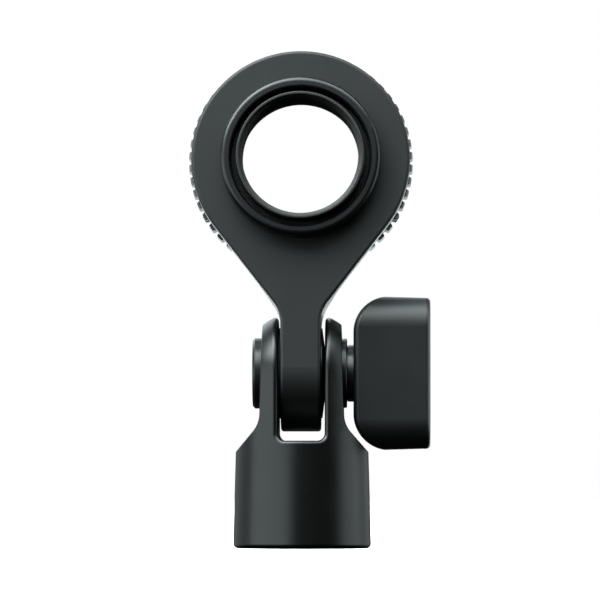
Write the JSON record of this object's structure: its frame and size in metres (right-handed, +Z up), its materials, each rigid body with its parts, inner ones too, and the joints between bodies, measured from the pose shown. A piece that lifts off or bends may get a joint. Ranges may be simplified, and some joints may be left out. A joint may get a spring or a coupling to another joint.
{
  "type": "microphone swivel stand mount",
  "caption": "Swivel mount: a forked foot screws on a stand and clamps a tilting arm whose threaded ring holds a microphone.",
  "frame": {"origin": "centre of the foot's underside, on the stand thread's axis", "axes": "+Z up along the stand thread, front (the collar's side) towards -Y, wing knob towards +X"},
  "size_m": [0.0449, 0.0269, 0.0924],
  "materials": {
    "black_finished_steel": "satin black coat",
    "blackened_thread": "blackened, machined",
    "blackened_fastener": "satin black",
    "blackened_spring_steel": "blued",
    "steel_shim": "oiled, dark",
    "friction_fibre": "black fibre",
    "bronze_bush": "turned",
    "slip_nylon": "black nylon",
    "steel_screws": "blackened",
    "moulded_knob": "satin black moulding",
    "blackened_insert": "blackened"
  },
  "bodies": {
    "stand": {"stand_yoke": "black_finished_steel", "pivot_bolt": "blackened_fastener", "stop_screw": "steel_screws", "stop_washer": "steel_screws"},
    "head": {"head_arm": "black_finished_steel", "hub_bush": "bronze_bush", "front_collar": "black_finished_steel", "front_slip_washer": "slip_nylon", "back_slip_washer": "slip_nylon", "friction_disc": "friction_fibre", "domed_spring_washer": "blackened_spring_steel"},
    "ring": {"thread_sleeve": "blackened_thread", "thumb_ring": "black_finished_steel", "sleeve_screws": "steel_screws"},
    "washers": {"ear_washer": "blackened_fastener", "thrust_shim": "steel_shim"},
    "knob": {"knob_body": "moulded_knob", "knob_insert": "blackened_insert", "knob_cap": "moulded_knob"}
  },
  "joints": [
    {"name": "head_tilt", "type": "hinge", "parent": "stand", "child": "head", "pos_m": [0, 0, 0.0325], "axis": [1, 0, 0], "range_deg": [-90, 90]},
    {"name": "thumb_ring_turn", "type": "hinge", "parent": "head", "child": "ring", "pos_m": [-0.00017, -0.00743, 0.0721], "axis": [0, -0.9962, 0.0872], "continuous": true},
    {"name": "knob_travel", "type": "slide", "parent": "stand", "child": "washers", "axis": [1, 0, 0], "range_m": [0, 0.0015]},
    {"name": "knob_turn", "type": "hinge", "parent": "washers", "child": "knob", "pos_m": [0.0094, 0, 0.0325], "axis": [1, 0, 0], "range_deg": [0, 540]}
  ],
  "couplings": [
    {"joint": "knob_travel", "follows": "knob_turn", "m_per_rad": 0.00015915}
  ]
}
